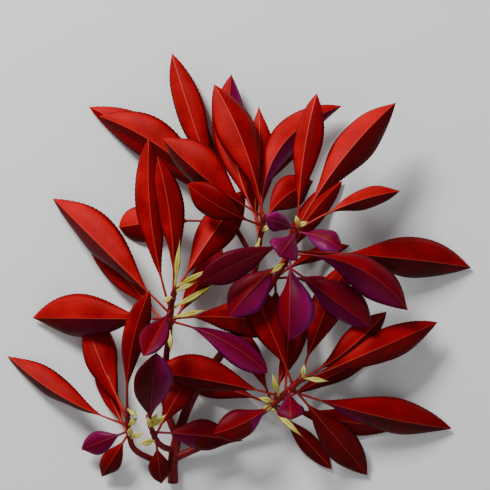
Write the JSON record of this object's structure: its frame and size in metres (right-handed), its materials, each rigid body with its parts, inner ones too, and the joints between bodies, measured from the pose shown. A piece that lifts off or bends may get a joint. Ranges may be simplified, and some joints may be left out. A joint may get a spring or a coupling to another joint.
{
  "type": "cut photinia spray",
  "caption": "Cut spray of a red-leaved photinia shrub with whorls of glossy leaves on branching stems.",
  "frame": {"origin": "centre of the bounding box at its lowest point, where the spray rests", "axes": "+Z away from the surface that the spray lies on, +Y from the cut end towards the shoot tips"},
  "size_m": [0.3306, 0.3066, 0.0823],
  "materials": {
    "stem": "smooth young bark",
    "leaf": "glossy leaf"
  },
  "bodies": {
    "root": {"main_stem": "stem", "left_bough": "stem", "upper_bough": "stem", "back_bough": "stem", "lower_right_bough": "stem", "lower_left_bough": "stem", "front_bough": "stem", "left_whorl": "leaf", "upper_whorl": "leaf", "back_whorl": "leaf", "right_whorl": "leaf", "lower_right_whorl": "leaf", "lower_left_whorl": "leaf", "front_whorl": "leaf"}
  },
  "joints": []
}
